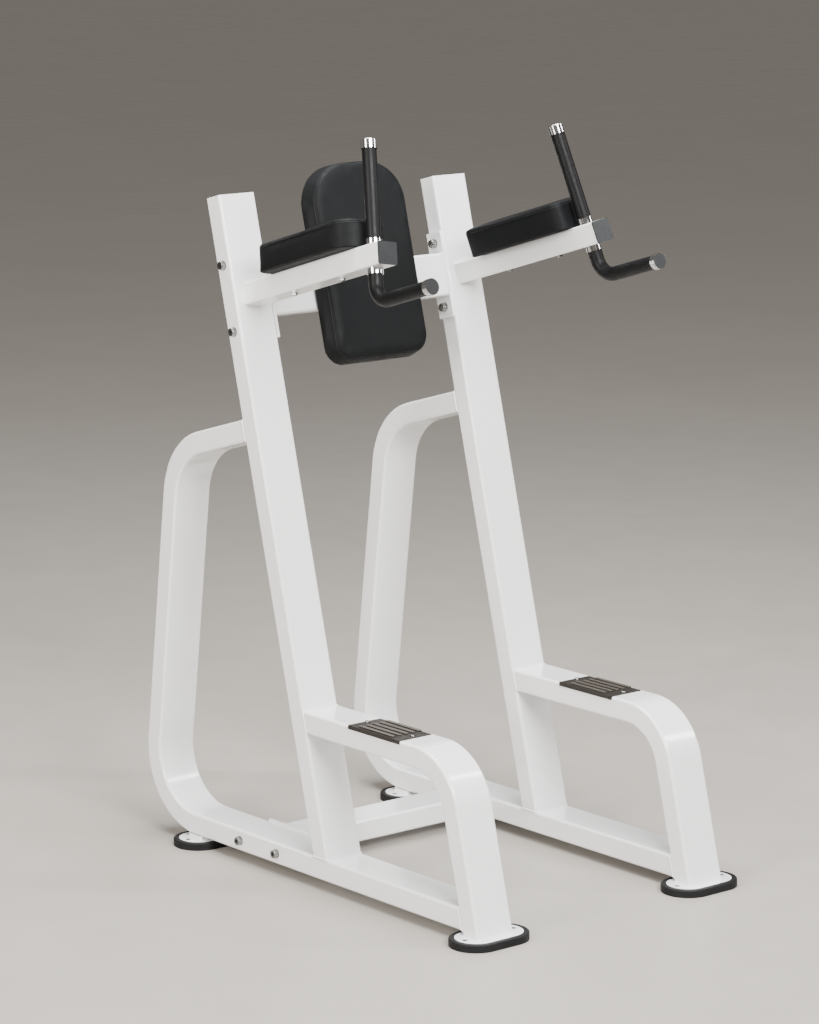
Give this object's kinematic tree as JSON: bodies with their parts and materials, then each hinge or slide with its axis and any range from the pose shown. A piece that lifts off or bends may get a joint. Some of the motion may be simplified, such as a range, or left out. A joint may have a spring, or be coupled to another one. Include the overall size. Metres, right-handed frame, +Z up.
{
  "type": "power tower",
  "caption": "Free-standing gym station for knee raises and dips: leaning box-tube side frames with steps, two padded arms with bent grips, and a back pad on a cross tube.",
  "frame": {"origin": "middle of the bounding box's footprint, on the floor", "axes": "+Z up, -Y towards the front where the user steps up, X across"},
  "size_m": [0.812, 1.2345, 1.6819],
  "materials": {
    "grey_plastic": "satin",
    "pad_board": "plywood with a black backing",
    "zinc_steel": "zinc plated",
    "pad_vinyl": "fine-grain vinyl",
    "frame_paint": "gloss",
    "plate_paint": "gloss",
    "grip_rubber": "smooth",
    "foot_rubber": "matte",
    "handle_chrome": "polished",
    "plug_plastic": "satin",
    "handle_steel": "satin",
    "tread_metal": "brushed",
    "cap_plastic": "matte"
  },
  "bodies": {
    "root": {"arm_end_cap_left": "grey_plastic", "arm_end_cap_right": "grey_plastic", "arm_pad_board_left": "pad_board", "arm_pad_board_right": "pad_board", "arm_pad_bolts": "zinc_steel", "arm_pad_cushion_left": "pad_vinyl", "arm_pad_cushion_right": "pad_vinyl", "arm_pad_insert_nuts": "zinc_steel", "arm_tube_left": "frame_paint", "arm_tube_right": "frame_paint", "back_pad_board": "pad_board", "back_pad_bolts": "zinc_steel", "back_pad_cushion": "pad_vinyl", "back_pad_insert_nuts": "zinc_steel", "back_pad_mount_plate": "plate_paint", "base_hoop_left": "frame_paint", "base_hoop_right": "frame_paint", "dip_grip_left": "grip_rubber", "dip_grip_right": "grip_rubber", "foot_pad_front_left": "foot_rubber", "foot_pad_front_right": "foot_rubber", "foot_pad_rear_left": "foot_rubber", "foot_pad_rear_right": "foot_rubber", "foot_plate_front_left": "plate_paint", "foot_plate_front_right": "plate_paint", "foot_plate_rear_left": "plate_paint", "foot_plate_rear_right": "plate_paint", "foot_plate_screws": "zinc_steel", "handle_collars": "handle_chrome", "handle_end_plugs": "plug_plastic", "handle_end_rings": "handle_chrome", "handle_top_caps": "handle_chrome", "handle_tube_left": "handle_steel", "handle_tube_right": "handle_steel", "lower_bolt_nuts": "zinc_steel", "lower_bolt_washers": "zinc_steel", "lower_crossbar": "frame_paint", "lower_end_plate_left": "frame_paint", "lower_end_plate_right": "frame_paint", "lower_frame_bolts": "zinc_steel", "rear_foot_stub_left": "frame_paint", "rear_foot_stub_right": "frame_paint", "step_leg_left": "frame_paint", "step_leg_right": "frame_paint", "step_tread_left": "tread_metal", "step_tread_right": "tread_metal", "tread_screws": "zinc_steel", "upper_bolt_nuts": "zinc_steel", "upper_bolt_washers": "zinc_steel", "upper_crossbeam": "frame_paint", "upper_end_plate_left": "frame_paint", "upper_end_plate_right": "frame_paint", "upper_frame_bolts": "zinc_steel", "upper_grip_left": "grip_rubber", "upper_grip_right": "grip_rubber", "upright_cap_left": "cap_plastic", "upright_cap_right": "cap_plastic", "upright_left": "frame_paint", "upright_right": "frame_paint"}
  },
  "joints": []
}
